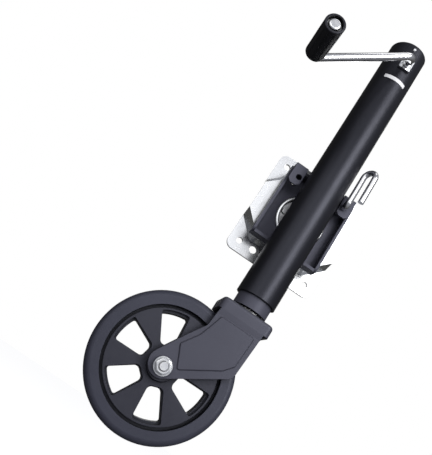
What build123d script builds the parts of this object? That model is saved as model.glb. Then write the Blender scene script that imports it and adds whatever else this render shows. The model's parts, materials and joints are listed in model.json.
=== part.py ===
from build123d import *
import math
import os

# Side-wind trailer tongue jack on a swing-away bolt-on bracket, with a caster wheel.
# Row frame, millimetres: the origin is the centre of the bracket's bolt pattern on its back face,
# +Z runs up the jack tube, +Y points out of the bracket's back face towards the trailer rail,
# +X points right, and the wheel trails towards -X.

os.makedirs("parts", exist_ok=True)

# ---------------------------------------------------------------- driving dimensions
AXIS_Y = -61.0                  # jack tube axis in front of the bracket's back face
AXLE_Z = -296.0                 # wheel axle height, jack wound in
AXLE_X = -61.0                  # caster trail
SHAFT_Z = AXLE_Z + 588.0        # crank shaft height

RUNNING = 0.05                  # radial clearance of a running fit
GAP = 0.3                       # gap between parts of different bodies

PLATE_WIDTH = 154.0
PLATE_HEIGHT = 181.0
PLATE_T = 4.5
PLATE_CORNER_R = 12.0
PLATE_RAISE = 17.5              # height of the raised band over the base sheet
BOLT_DX = 120.65                # 4-3/4 in bolt spacing across
BOLT_DZ = 146.05                # 5-3/4 in bolt spacing along the tube
BOLT_HOLE_D = 10.5
INNER_HOLE_D = 12.0
INNER_DX = 70.0

PIN_D = 9.5
PIN_X = 41.0                    # lock pin position from the pivot
PIN_Z = 48.5
PIN_STROKE = 7.0

SHEET_T = 4.0                   # channel and fork sheet
CHANNEL_HALF = 57.4
CHANNEL_BOTTOM = -60.0
CHANNEL_DEPTH = 20.6
WEB_FRONT = -26.4
WEB_BACK = -22.4
PIVOT_R = 37.0                  # hole in the web that turns on the retainer's hub

TUBE_OD = 60.3
TUBE_ID = 54.3
TUBE_BOTTOM = AXLE_Z + 146.0
TUBE_TOP = AXLE_Z + 628.0
LEG_OD = 52.4
LEG_ID = 46.6
LEG_BOTTOM = AXLE_Z + 127.2
LEG_TOP = AXLE_Z + 520.0

SHAFT_D = 12.7
CRANK_DX = -128.0               # grip axis from the shaft axis
CRANK_DZ = -111.0

GEAR_TEETH = 12
GEAR_MODULE = 2.4
SCREW_D = 19.0
SCREW_JOURNAL_D = 16.0
SCREW_TIP_D = 12.0
SEAT_Z = AXLE_Z + 550.0         # underside of the screw's bearing seat
SEAT_T = 4.0

WHEEL_R = 100.0
TYRE_INNER_R = 80.0
TYRE_HALF = 20.4
WINDOWS = 6
WINDOW_START = 48.0             # angle of the first window above +X
AXLE_D = 12.7
SLEEVE_D = 16.0
HUB_BUSH_D = 20.0
CHEEK_OUTER = 30.0              # outer face of each fork cheek from the tube axis

FORK_TOP = AXLE_Z + 123.0


def level(height):
    """Plane normal to the jack tube, centred on the tube axis."""
    return Plane(origin=(0, AXIS_Y, height))


def front(depth, x=0.0, z=0.0):
    """Plane facing the crank side, with local y up the tube."""
    return Plane(origin=(x, depth, z), x_dir=(1, 0, 0), z_dir=(0, -1, 0))


def sideways(x):
    """Plane facing +X, with local x along +Y and local y up the tube."""
    return Plane(origin=(x, 0, 0), x_dir=(0, 1, 0), z_dir=(1, 0, 0))


# ================================================================ bracket fixed to the trailer
BAND_HALF_TOP = 58.0            # half height of the raised band at its crest
BAND_HALF_FOOT = 66.0           # the same where it meets the base sheet
BAND_CUT_TOP = 101.0            # where the 45 degree corner cuts would cross the x axis, at the crest
BAND_CUT_FOOT = 115.0           # the same where they meet the base sheet
BAND_REACH = PLATE_WIDTH / 2
BAND_WALL = 4.0
CREST_Y = -PLATE_RAISE - PLATE_T
RIVET_CIRCLE_R = 28.5
RIVET_D = 6.0
RIVET_HEAD_D = 10.0
RIVET_HEAD_H = 2.5
RIVET_HEAD_TAPER = 20
LOCK_HOLE_R = PIN_D / 2 + 0.4


def band_outline(half_height, corner_cut, reach, inset=0.0):
    """Corner points of the raised band: flat above and below, 45 degree cuts towards the sides."""
    top = half_height - inset
    cut = corner_cut - inset * math.sqrt(2)
    return [
        (reach, reach - cut), (reach, cut - reach), (cut - top, top), (top - cut, top),
        (-reach, cut - reach), (-reach, reach - cut), (top - cut, -top), (cut - top, -top),
    ]


with BuildPart() as mounting_plate:
    with BuildSketch(front(0)):
        RectangleRounded(PLATE_WIDTH, PLATE_HEIGHT, PLATE_CORNER_R)
    extrude(amount=PLATE_T)
    with BuildSketch(front(0)):
        Polygon(*band_outline(BAND_HALF_FOOT, BAND_CUT_FOOT, BAND_REACH), align=None)
    with BuildSketch(front(-PLATE_RAISE - PLATE_T)):
        Polygon(*band_outline(BAND_HALF_TOP, BAND_CUT_TOP, BAND_REACH), align=None)
    loft(ruled=True)
    with BuildSketch(front(0)):
        Polygon(*band_outline(BAND_HALF_FOOT, BAND_CUT_FOOT, BAND_REACH + 1, BAND_WALL), align=None)
    with BuildSketch(front(-PLATE_RAISE)):
        Polygon(*band_outline(BAND_HALF_TOP, BAND_CUT_TOP, BAND_REACH + 1, BAND_WALL), align=None)
    loft(ruled=True, mode=Mode.SUBTRACT)
    with BuildSketch(front(0)):
        with GridLocations(BOLT_DX, BOLT_DZ, 2, 2):
            Circle(BOLT_HOLE_D / 2)
        with GridLocations(INNER_DX, BOLT_DZ, 2, 2):
            Circle(INNER_HOLE_D / 2)
        with GridLocations(2 * PIN_X, 2 * PIN_Z, 2, 2):
            Circle(LOCK_HOLE_R)
        with GridLocations(2 * PIN_Z, 2 * PIN_X, 2, 2):
            Circle(LOCK_HOLE_R)
        with PolarLocations(RIVET_CIRCLE_R, 4):
            Circle(RIVET_D / 2)
    extrude(amount=PLATE_RAISE + PLATE_T, mode=Mode.SUBTRACT)
mounting_plate.part.label = "mounting_plate"
export_step(mounting_plate.part, "parts/mounting_plate.step")

# Dished zinc disc that holds the channel against the plate; its hub is the pivot.
RETAINER_R = 39.5
HUB_R = PIVOT_R - RUNNING
HUB_WALL = 2.5
RIM_BACK = WEB_FRONT - GAP
RIM_T = 3.0
RIM_EDGE = 1.2
RIM_ROUND = 2.5
RIM_DISH = 0.6
with BuildPart() as swivel_retainer:
    with BuildSketch(Plane.XY):
        with BuildLine():
            Polyline(
                (0, CREST_Y), (HUB_R, CREST_Y), (HUB_R, RIM_BACK), (RETAINER_R, RIM_BACK),
                (RETAINER_R, RIM_BACK - RIM_EDGE),
            )
            ThreePointArc(
                (RETAINER_R, RIM_BACK - RIM_EDGE),
                (RETAINER_R - RIM_ROUND, RIM_BACK - RIM_T + RIM_DISH / 2),
                (HUB_R - HUB_WALL, RIM_BACK - RIM_T + RIM_DISH),
            )
            Polyline(
                (HUB_R - HUB_WALL, RIM_BACK - RIM_T + RIM_DISH), (HUB_R - HUB_WALL, CREST_Y - HUB_WALL),
                (0, CREST_Y - HUB_WALL), (0, CREST_Y),
            )
        make_face()
    revolve(axis=Axis.Y)
    with BuildSketch(front(CREST_Y)):
        with PolarLocations(RIVET_CIRCLE_R, 4):
            Circle(RIVET_D / 2)
    extrude(amount=HUB_WALL, mode=Mode.SUBTRACT)
swivel_retainer.part.label = "swivel_retainer"
export_step(swivel_retainer.part, "parts/swivel_retainer.step")

with BuildPart() as retainer_rivets:
    with BuildSketch(front(-PLATE_RAISE)):
        with PolarLocations(RIVET_CIRCLE_R, 4):
            Circle(RIVET_D / 2)
    extrude(amount=PLATE_T + HUB_WALL)
    with BuildSketch(front(CREST_Y - HUB_WALL)):
        with PolarLocations(RIVET_CIRCLE_R, 4):
            Circle(RIVET_HEAD_D / 2)
    extrude(amount=RIVET_HEAD_H, taper=RIVET_HEAD_TAPER)
    with BuildSketch(front(-PLATE_RAISE + RIVET_HEAD_H)):
        with PolarLocations(RIVET_CIRCLE_R, 4):
            Circle(RIVET_HEAD_D / 2)
    extrude(amount=RIVET_HEAD_H)
retainer_rivets.part.label = "retainer_rivets"
export_step(retainer_rivets.part, "parts/retainer_rivets.step")

# ================================================================ swinging channel
CHANNEL_FRONT = WEB_BACK - CHANNEL_DEPTH
FLANGE_CORNER_R = 8.0
EAR_INNER = 34.4
EAR_OUTER = 54.7
EAR_TOP = 69.5
EAR_BOTTOM = 34.5
EAR_FRONT = -51.0
EAR_CLIP = 5.0
EAR_W = EAR_OUTER - EAR_INNER
EAR_MID = (EAR_OUTER + EAR_INNER) / 2
PIN_HOLE_R = PIN_D / 2 + RUNNING
SADDLE_T = 5.0
OUTER_BEND_R = 2.8
EAR_BEND_R = 3.2
NEAR = 0.1                      # search band when picking edges by position
CHANNEL_TOP = EAR_TOP - SHEET_T
CHANNEL_H = CHANNEL_TOP - CHANNEL_BOTTOM
CHANNEL_MID_Z = (CHANNEL_TOP + CHANNEL_BOTTOM) / 2

with BuildPart() as swivel_channel:
    with BuildSketch(front(WEB_BACK)):
        with Locations((0, CHANNEL_MID_Z)):
            Rectangle(2 * CHANNEL_HALF, CHANNEL_H)
        Circle(PIVOT_R, mode=Mode.SUBTRACT)
    extrude(amount=SHEET_T)
    for side in (-1, 1):
        with BuildSketch(sideways(side * (CHANNEL_HALF - SHEET_T / 2))) as flange:
            with Locations(((WEB_BACK + CHANNEL_FRONT) / 2, CHANNEL_MID_Z)):
                Rectangle(CHANNEL_DEPTH, CHANNEL_H)
            fillet(flange.vertices().group_by(Axis.X)[0], FLANGE_CORNER_R)
        extrude(amount=SHEET_T / 2, both=True)
        with BuildSketch(sideways(side * EAR_MID)):
            with Locations(((WEB_BACK + EAR_FRONT) / 2, EAR_TOP - SHEET_T / 2)):
                Rectangle(WEB_BACK - EAR_FRONT, SHEET_T)
        extrude(amount=EAR_W / 2, both=True)
        with BuildSketch(front(EAR_FRONT + SHEET_T, side * EAR_MID)):
            Polygon(
                (-EAR_W / 2, EAR_TOP), (-EAR_W / 2, EAR_BOTTOM + EAR_CLIP),
                (-EAR_W / 2 + EAR_CLIP, EAR_BOTTOM), (EAR_W / 2 - EAR_CLIP, EAR_BOTTOM),
                (EAR_W / 2, EAR_BOTTOM + EAR_CLIP), (EAR_W / 2, EAR_TOP),
                align=None,
            )
        extrude(amount=SHEET_T)
    across = swivel_channel.edges().filter_by(Axis.X)
    ear_bends = across.filter_by_position(Axis.Y, EAR_FRONT - NEAR, EAR_FRONT + NEAR)
    fillet(ear_bends.filter_by_position(Axis.Z, EAR_TOP - NEAR, EAR_TOP + NEAR), EAR_BEND_R)
    upright = swivel_channel.edges().filter_by(Axis.Z)
    outer_bends = upright.filter_by_position(Axis.Y, WEB_BACK - NEAR, WEB_BACK + NEAR)
    fillet(outer_bends.group_by(SortBy.LENGTH)[-1], OUTER_BEND_R)
    with BuildSketch(front(WEB_BACK)):
        with Locations((-PIN_X, PIN_Z), (PIN_X, PIN_Z)):
            Circle(PIN_HOLE_R)
    extrude(amount=WEB_BACK - EAR_FRONT, mode=Mode.SUBTRACT)
swivel_channel.part.label = "swivel_channel"
export_step(swivel_channel.part, "parts/swivel_channel.step")


def saddle(bottom, name):
    """Cross plate between the channel's flanges, cut to the jack tube and welded to both."""
    with BuildPart() as plate:
        with BuildSketch(Plane.XY.offset(bottom)):
            with Locations((0, (WEB_FRONT + CHANNEL_FRONT) / 2)):
                Rectangle(2 * (CHANNEL_HALF - SHEET_T), WEB_FRONT - CHANNEL_FRONT)
            with Locations((0, AXIS_Y)):
                Circle(TUBE_OD / 2, mode=Mode.SUBTRACT)
        extrude(amount=SADDLE_T)
    plate.part.label = name
    export_step(plate.part, f"parts/{name}.step")


saddle(CHANNEL_TOP - SADDLE_T, "upper_saddle")
saddle(CHANNEL_BOTTOM, "lower_saddle")

# ================================================================ outer tube and its fittings
BUSH_R = 9.0
BLOCK_SIDE = 19.5
BLOCK_FRONT = AXIS_Y - 34.5
BLOCK_INNER = 24.0
BORE_R = SHAFT_D / 2 + RUNNING
CAP_T = 4.0
CAP_SKIRT = 14.0
CAP_WALL = 3.0
CAP_RIVET_Z = TUBE_TOP - 6.0
CAP_RIVET_D = 4.0
CAP_RIVET_HEAD_D = 5.6
LABEL_BOTTOM = AXLE_Z + 553.0
LABEL_H = 6.5
LABEL_T = 0.3
LABEL_START = -128.0            # ends of the sticker round the tube, anticlockwise from +X
LABEL_END = -56.0
CAP_EDGE_R = 3.2
CAP_RIVET_HEAD_H = 1.3
CAP_RIVET_TAPER = 25

with BuildPart() as outer_tube:
    with BuildSketch(level(TUBE_BOTTOM)):
        Circle(TUBE_OD / 2)
        Circle(TUBE_ID / 2, mode=Mode.SUBTRACT)
    extrude(amount=TUBE_TOP - TUBE_BOTTOM)
    with BuildSketch(front(AXIS_Y, 0, SHAFT_Z)):
        Circle(BUSH_R)
    extrude(amount=TUBE_OD, both=True, mode=Mode.SUBTRACT)
    with BuildSketch(front(AXIS_Y, 0, CAP_RIVET_Z)):
        Circle(CAP_RIVET_D / 2)
    extrude(amount=TUBE_OD, both=True, mode=Mode.SUBTRACT)
outer_tube.part.label = "outer_tube"
export_step(outer_tube.part, "parts/outer_tube.step")

with BuildPart() as label_band:
    with BuildSketch(level(LABEL_BOTTOM)):
        Circle(TUBE_OD / 2 + LABEL_T)
        Circle(TUBE_OD / 2, mode=Mode.SUBTRACT)
        with BuildLine():
            start = PolarLine((0, 0), TUBE_OD, LABEL_START)
            end = PolarLine((0, 0), TUBE_OD, LABEL_END)
            ThreePointArc(start @ 1, (0, -TUBE_OD), end @ 1)
        make_face(mode=Mode.INTERSECT)
    extrude(amount=LABEL_H)
label_band.part.label = "label_band"
export_step(label_band.part, "parts/label_band.step")

with BuildPart() as top_cap:
    with BuildSketch(level(TUBE_TOP)):
        Circle(TUBE_OD / 2)
    extrude(amount=CAP_T)
    fillet(top_cap.edges().group_by(Axis.Z)[-1], CAP_EDGE_R)
    with BuildSketch(level(TUBE_TOP - CAP_SKIRT)):
        Circle(TUBE_ID / 2)
        Circle(TUBE_ID / 2 - CAP_WALL, mode=Mode.SUBTRACT)
    extrude(amount=CAP_SKIRT)
    with BuildSketch(front(AXIS_Y, 0, CAP_RIVET_Z)):
        Circle(CAP_RIVET_D / 2)
    extrude(amount=TUBE_OD, both=True, mode=Mode.SUBTRACT)
top_cap.part.label = "top_cap"
export_step(top_cap.part, "parts/top_cap.step")

with BuildPart() as cap_rivets:
    for side in (-1, 1):
        inner_y = AXIS_Y + side * (TUBE_ID / 2 - CAP_WALL)
        with BuildSketch(front(inner_y, 0, CAP_RIVET_Z)):
            Circle(CAP_RIVET_D / 2)
        extrude(amount=-side * (CAP_WALL + (TUBE_OD - TUBE_ID) / 2))
        with BuildSketch(front(AXIS_Y + side * TUBE_OD / 2, 0, CAP_RIVET_Z)):
            Circle(CAP_RIVET_HEAD_D / 2)
        extrude(amount=-side * CAP_RIVET_HEAD_H, taper=CAP_RIVET_TAPER)
    with BuildSketch(level(CAP_RIVET_Z - CAP_RIVET_HEAD_D)):
        Circle(TUBE_ID / 2 - CAP_WALL)
    extrude(amount=2 * CAP_RIVET_HEAD_D, mode=Mode.SUBTRACT)
cap_rivets.part.label = "cap_rivets"
export_step(cap_rivets.part, "parts/cap_rivets.step")


def shaft_bearing(side, name):
    """Square flanged bush for the crank shaft, seated on the tube's wall."""
    with BuildPart() as bearing:
        with BuildSketch(front(AXIS_Y + side * BLOCK_INNER, 0, SHAFT_Z)):
            Rectangle(BLOCK_SIDE, BLOCK_SIDE)
        extrude(amount=-side * (AXIS_Y - BLOCK_FRONT - BLOCK_INNER))
        with BuildSketch(level(SHAFT_Z - BLOCK_SIDE)):
            Circle(TUBE_OD / 2)
        extrude(amount=2 * BLOCK_SIDE, mode=Mode.SUBTRACT)
        with BuildSketch(front(AXIS_Y + side * BLOCK_INNER, 0, SHAFT_Z)):
            Circle(BUSH_R)
        extrude(amount=-side * (AXIS_Y - BLOCK_FRONT - BLOCK_INNER))
        with BuildSketch(front(AXIS_Y, 0, SHAFT_Z)):
            Circle(BORE_R)
        extrude(amount=TUBE_OD, both=True, mode=Mode.SUBTRACT)
    bearing.part.label = name
    export_step(bearing.part, f"parts/{name}.step")


shaft_bearing(-1, "front_bearing")
shaft_bearing(1, "rear_bearing")

# Plate inside the tube that carries the lift screw on a ball thrust bearing.
BALL_R = 2.0
BALL_CIRCLE_R = 11.8
BALL_COUNT = 12
RACE_INNER_R = SCREW_JOURNAL_D / 2 + GAP
RACE_OUTER_R = 16.0
RACE_T = 2.4
GROOVE_DEPTH = 0.8
CARRY_CLEAR = 0.02              # groove clearance on the race that carries the balls
ROLL_CLEAR = 0.1                # groove clearance on the race that turns over them
LOWER_RACE_Z = SEAT_Z + SEAT_T
BALL_Z = LOWER_RACE_Z + RACE_T - GROOVE_DEPTH + BALL_R
UPPER_RACE_Z = BALL_Z + BALL_R - GROOVE_DEPTH + ROLL_CLEAR
SCREW_SHOULDER_Z = UPPER_RACE_Z + RACE_T

with BuildPart() as bearing_seat:
    with BuildSketch(level(SEAT_Z)):
        Circle(TUBE_ID / 2)
        Circle(SCREW_JOURNAL_D / 2 + RUNNING, mode=Mode.SUBTRACT)
    extrude(amount=SEAT_T)
bearing_seat.part.label = "bearing_seat"
export_step(bearing_seat.part, "parts/bearing_seat.step")


def race(bottom, ball_z, ball_circle_r, inner_r, outer_r, thickness, groove_r):
    """Flat thrust race with a ball groove."""
    with BuildPart() as ring:
        with BuildSketch(level(bottom)):
            Circle(outer_r)
            Circle(inner_r, mode=Mode.SUBTRACT)
        extrude(amount=thickness)
        with BuildSketch(Plane(origin=(0, AXIS_Y, ball_z), x_dir=(1, 0, 0), z_dir=(0, -1, 0))):
            with Locations((ball_circle_r, 0)):
                Circle(groove_r)
        revolve(axis=Axis((0, AXIS_Y, 0), (0, 0, 1)), mode=Mode.SUBTRACT)
    return ring.part


CARRY_R = BALL_R + CARRY_CLEAR
ROLL_R = BALL_R + ROLL_CLEAR
thrust_race_lower = race(
    LOWER_RACE_Z, BALL_Z, BALL_CIRCLE_R, RACE_INNER_R, RACE_OUTER_R, RACE_T, CARRY_R
)
thrust_race_lower.label = "thrust_race_lower"
export_step(thrust_race_lower, "parts/thrust_race_lower.step")

thrust_race_upper = race(
    UPPER_RACE_Z, BALL_Z, BALL_CIRCLE_R, SCREW_JOURNAL_D / 2, RACE_OUTER_R, RACE_T, ROLL_R
)
thrust_race_upper.label = "thrust_race_upper"
export_step(thrust_race_upper, "parts/thrust_race_upper.step")

with BuildPart() as thrust_balls:
    with Locations((0, AXIS_Y, BALL_Z)):
        with PolarLocations(BALL_CIRCLE_R, BALL_COUNT):
            Sphere(BALL_R)
thrust_balls.part.label = "thrust_balls"
export_step(thrust_balls.part, "parts/thrust_balls.step")

# Nylon ring pressed into the tube's mouth; the leg slides in it.
RING_H = 25.0
RING_INSET = 1.0
with BuildPart() as guide_ring:
    with BuildSketch(level(TUBE_BOTTOM + RING_INSET)):
        Circle(TUBE_ID / 2)
        Circle(LEG_OD / 2 + RUNNING, mode=Mode.SUBTRACT)
    extrude(amount=RING_H)
guide_ring.part.label = "guide_ring"
export_step(guide_ring.part, "parts/guide_ring.step")

# ================================================================ crank, pinion and grip
ROD_BEND_1 = 14.0
ROD_BEND_2 = 12.7
ARM_Y_INNER = AXIS_Y - 58.0
ARM_Y_OUTER = AXIS_Y - 63.0
SHAFT_END_Y = AXIS_Y + 38.0
GRIP_FAR_Y = AXIS_Y - 77.0
GRIP_NEAR_Y = AXIS_Y - 153.0
GRIP_R = 15.2
GRIP_FLUTES = 12
GRIP_RECESS_R = 11.8
GRIP_RECESS = 8.0
GRIP_EDGE_R = 2.0
FLUTE_R = 1.7
FLUTE_OFFSET = 0.9              # flute centres outside the grip's surface
FLUTE_END = 6.0
ROD_END_Y = GRIP_NEAR_Y + 5.0
OVERCUT = 1.0

with BuildPart() as crank_grip:
    with BuildSketch(front(GRIP_FAR_Y, CRANK_DX, SHAFT_Z + CRANK_DZ)):
        Circle(GRIP_R)
    extrude(amount=GRIP_FAR_Y - GRIP_NEAR_Y)
    fillet(crank_grip.edges(), GRIP_EDGE_R)
    with BuildSketch(front(GRIP_FAR_Y - FLUTE_END, CRANK_DX, SHAFT_Z + CRANK_DZ)):
        with PolarLocations(GRIP_R + FLUTE_OFFSET, GRIP_FLUTES):
            Circle(FLUTE_R)
    extrude(amount=GRIP_FAR_Y - GRIP_NEAR_Y - 2 * FLUTE_END, mode=Mode.SUBTRACT)
    with BuildSketch(front(GRIP_FAR_Y + OVERCUT, CRANK_DX, SHAFT_Z + CRANK_DZ)):
        Circle(BORE_R)
    extrude(amount=GRIP_FAR_Y - GRIP_NEAR_Y + 2 * OVERCUT, mode=Mode.SUBTRACT)
    with BuildSketch(front(GRIP_NEAR_Y + GRIP_RECESS, CRANK_DX, SHAFT_Z + CRANK_DZ)):
        Circle(GRIP_RECESS_R)
    extrude(amount=GRIP_RECESS + OVERCUT, mode=Mode.SUBTRACT)
crank_grip.part.label = "crank_grip"
export_step(crank_grip.part, "parts/crank_grip.step")

# Push-on cap nut that keeps the grip on the rod.
NUT_BRIM_R = 10.8
NUT_BRIM_T = 1.4
NUT_WALL = 2.6
NUT_DOME_R = 3.2
NUT_SUNK = 0.6
NUT_BRIM_Y = GRIP_NEAR_Y + GRIP_RECESS - GAP
with BuildPart() as grip_retainer:
    with BuildSketch(front(NUT_BRIM_Y, CRANK_DX, SHAFT_Z + CRANK_DZ)):
        Circle(SHAFT_D / 2 + NUT_WALL)
    extrude(amount=NUT_BRIM_Y - GRIP_NEAR_Y - NUT_SUNK)
    fillet(grip_retainer.edges().group_by(Axis.Y)[0], NUT_DOME_R)
    with BuildSketch(front(NUT_BRIM_Y, CRANK_DX, SHAFT_Z + CRANK_DZ)):
        Circle(NUT_BRIM_R)
    extrude(amount=NUT_BRIM_T)
    with BuildSketch(front(NUT_BRIM_Y, CRANK_DX, SHAFT_Z + CRANK_DZ)):
        Circle(SHAFT_D / 2)
    extrude(amount=NUT_BRIM_Y - ROD_END_Y, mode=Mode.SUBTRACT)
grip_retainer.part.label = "grip_retainer"
export_step(grip_retainer.part, "parts/grip_retainer.step")

CLIP_Y = AXIS_Y + 35.6
CLIP_RING = 3.5
CLIP_T = 1.0
with BuildPart() as shaft_clip:
    with BuildSketch(front(CLIP_Y, 0, SHAFT_Z)):
        Circle(SHAFT_D / 2 + CLIP_RING)
        Circle(SHAFT_D / 2, mode=Mode.SUBTRACT)
    extrude(amount=CLIP_T)
shaft_clip.part.label = "shaft_clip"
export_step(shaft_clip.part, "parts/shaft_clip.step")

# Mitre gear pair: 45 degree pitch cones that meet where the shaft and screw axes cross.
CONE = math.sqrt(2) / 2
CONE_OUTER = GEAR_TEETH * GEAR_MODULE / 2 / CONE
FACE_WIDTH = 7.5
CONE_INNER = CONE_OUTER - FACE_WIDTH
TOOTH_HEIGHT = 0.6 * GEAR_MODULE
TOOTH_DEPTH = 0.85 * GEAR_MODULE
TOOTH_ROOT_W = 3.1
TOOTH_TIP_W = 1.5
TOOTH_SINK = 0.4                # how far a tooth's foot runs into the blank
GEAR_BACK = 4.0
GEAR_HUB_R = 10.0


def gear_point(distance, rise):
    """Point (radius, height) at a distance along the pitch cone and a rise off it; both scale to the apex."""
    lift = rise * distance / CONE_OUTER
    return ((distance + lift) * CONE, (lift - distance) * CONE)


with BuildPart() as gear_tooth:
    for distance in (CONE_INNER, CONE_OUTER):
        size = distance / CONE_OUTER
        foot = -(TOOTH_DEPTH + TOOTH_SINK) * size
        tip = TOOTH_HEIGHT * size
        on_cone = (distance * CONE, 0, -distance * CONE)
        with BuildSketch(Plane(origin=on_cone, x_dir=(0, 1, 0), z_dir=(1, 0, -1))):
            Polygon(
                (-TOOTH_ROOT_W / 2 * size, foot), (TOOTH_ROOT_W / 2 * size, foot),
                (TOOTH_TIP_W / 2 * size, tip), (-TOOTH_TIP_W / 2 * size, tip),
                align=None,
            )
    loft(ruled=True)


def mitre_gear(apex_plane, hub_length, bore_r, first_tooth):
    """Gear on the plane's z axis with its pitch apex at the plane's origin."""
    root_outer = gear_point(CONE_OUTER, -TOOTH_DEPTH)
    root_inner = gear_point(CONE_INNER, -TOOTH_DEPTH)
    back = root_outer[1] - GEAR_BACK
    with BuildPart() as blank:
        with BuildSketch(Plane.XZ):
            Polygon(
                (bore_r, root_inner[1]), root_inner, root_outer, (root_outer[0], back), (GEAR_HUB_R, back),
                (GEAR_HUB_R, -hub_length), (bore_r, -hub_length),
                align=None,
            )
        revolve(axis=Axis.Z)
    with BuildPart(apex_plane) as gear:
        add(blank.part)
        with PolarLocations(0, GEAR_TEETH, start_angle=first_tooth):
            add(gear_tooth.part)
    return gear.part


HALF_PITCH = 180 / GEAR_TEETH
GEAR_HUB_LENGTH = SHAFT_Z - SCREW_SHOULDER_Z
gear_body = mitre_gear(Plane(origin=(0, AXIS_Y, SHAFT_Z)), GEAR_HUB_LENGTH, SCREW_TIP_D / 2, 0)

PINION_PLANE = Plane(origin=(0, AXIS_Y, SHAFT_Z), x_dir=(1, 0, 0), z_dir=(0, 1, 0))
PINION_HUB_LENGTH = BLOCK_INNER - GAP
pinion_body = mitre_gear(PINION_PLANE, PINION_HUB_LENGTH, SHAFT_D / 2, HALF_PITCH)

GEAR_PIN_R = 2.0
PIN_SUNK = 0.4                  # cross pins end this far under the hub's surface
GEAR_PIN_Z = SHAFT_Z - GEAR_HUB_LENGTH + 3.2
with BuildPart() as gear_pin:
    with BuildSketch(Plane(origin=(0, AXIS_Y, GEAR_PIN_Z), x_dir=(0, 1, 0), z_dir=(1, 0, 0))):
        Circle(GEAR_PIN_R)
    extrude(amount=GEAR_HUB_R - PIN_SUNK, both=True)

PINION_PIN_R = 1.6
PINION_PIN_Y = AXIS_Y - PINION_HUB_LENGTH + 2.6
with BuildPart() as pinion_pin:
    with BuildSketch(Plane(origin=(0, PINION_PIN_Y, SHAFT_Z))):
        Circle(PINION_PIN_R)
    extrude(amount=GEAR_HUB_R - PIN_SUNK, both=True)

with BuildPart() as bevel_gear:
    add(gear_body)
    add(gear_pin.part, mode=Mode.SUBTRACT)
bevel_gear.part.label = "bevel_gear"
export_step(bevel_gear.part, "parts/bevel_gear.step")

with BuildPart() as drive_pinion:
    add(pinion_body)
    add(pinion_pin.part, mode=Mode.SUBTRACT)
drive_pinion.part.label = "drive_pinion"
export_step(drive_pinion.part, "parts/drive_pinion.step")

gear_pin.part.label = "gear_pin"
export_step(gear_pin.part, "parts/gear_pin.step")
pinion_pin.part.label = "pinion_pin"
export_step(pinion_pin.part, "parts/pinion_pin.step")

with BuildPart() as crank_rod:
    with BuildLine() as rod_path:
        FilletPolyline(
            (0, SHAFT_END_Y, SHAFT_Z),
            (0, ARM_Y_INNER, SHAFT_Z),
            (CRANK_DX, ARM_Y_OUTER, SHAFT_Z + CRANK_DZ),
            (CRANK_DX, ROD_END_Y, SHAFT_Z + CRANK_DZ),
            radius=(ROD_BEND_1, ROD_BEND_2),
        )
    with BuildSketch(front(SHAFT_END_Y, 0, SHAFT_Z)):
        Circle(SHAFT_D / 2)
    sweep(path=rod_path.line)
    add(pinion_pin.part, mode=Mode.SUBTRACT)
crank_rod.part.label = "crank_rod"
export_step(crank_rod.part, "parts/crank_rod.step")

# ================================================================ lift screw
SCREW_BOTTOM = AXLE_Z + 235.0
SCREW_TOP = SHAFT_Z - SHAFT_D / 2 - 1.0
SCREW_LEAD_IN = 2.0
with BuildPart() as lead_screw:
    with BuildSketch(level(SCREW_BOTTOM)):
        Circle(SCREW_D / 2)
    extrude(amount=SEAT_Z - GAP - SCREW_BOTTOM)
    chamfer(lead_screw.edges().group_by(Axis.Z)[0], SCREW_LEAD_IN)
    with BuildSketch(level(SEAT_Z - GAP)):
        Circle(SCREW_JOURNAL_D / 2)
    extrude(amount=SCREW_SHOULDER_Z - SEAT_Z + GAP)
    with BuildSketch(level(SCREW_SHOULDER_Z)):
        Circle(SCREW_TIP_D / 2)
    extrude(amount=SCREW_TOP - SCREW_SHOULDER_Z)
    add(gear_pin.part, mode=Mode.SUBTRACT)
lead_screw.part.label = "lead_screw"
export_step(lead_screw.part, "parts/lead_screw.step")

# ================================================================ sliding leg
NUT_TOP = LEG_TOP - 2.0
NUT_H = 20.0
NUT_PIN_R = 3.0
NUT_PIN_REACH = 8.0             # how far each nut pin runs in from the leg's bore
NUT_PIN_SUNK = 0.2
PLUG_H = 14.0
KINGPIN_D = 16.0
KINGPIN_HEAD_R = 13.0
KINGPIN_HEAD_H = 8.0
SLIDE_BAND_BOTTOM = LEG_TOP - 20.0
SLIDE_BAND_H = 15.0

nut_pin_plane = front(AXIS_Y, 0, NUT_TOP - NUT_H / 2)
with BuildPart() as nut_pins:
    with BuildSketch(nut_pin_plane):
        Circle(NUT_PIN_R)
    extrude(amount=LEG_OD / 2 - NUT_PIN_SUNK, both=True)
    with BuildSketch(level(NUT_TOP - NUT_H)):
        Circle(LEG_ID / 2 - NUT_PIN_REACH)
    extrude(amount=NUT_H, mode=Mode.SUBTRACT)
nut_pins.part.label = "nut_pins"
export_step(nut_pins.part, "parts/nut_pins.step")

with BuildPart() as inner_tube:
    with BuildSketch(level(LEG_BOTTOM)):
        Circle(LEG_OD / 2)
        Circle(LEG_ID / 2, mode=Mode.SUBTRACT)
    extrude(amount=LEG_TOP - LEG_BOTTOM)
    with BuildSketch(nut_pin_plane):
        Circle(NUT_PIN_R)
    extrude(amount=TUBE_OD, both=True, mode=Mode.SUBTRACT)
inner_tube.part.label = "inner_tube"
export_step(inner_tube.part, "parts/inner_tube.step")

with BuildPart() as slide_band:
    with BuildSketch(level(SLIDE_BAND_BOTTOM)):
        Circle(TUBE_ID / 2 - RUNNING)
        Circle(LEG_OD / 2, mode=Mode.SUBTRACT)
    extrude(amount=SLIDE_BAND_H)
slide_band.part.label = "slide_band"
export_step(slide_band.part, "parts/slide_band.step")

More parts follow.
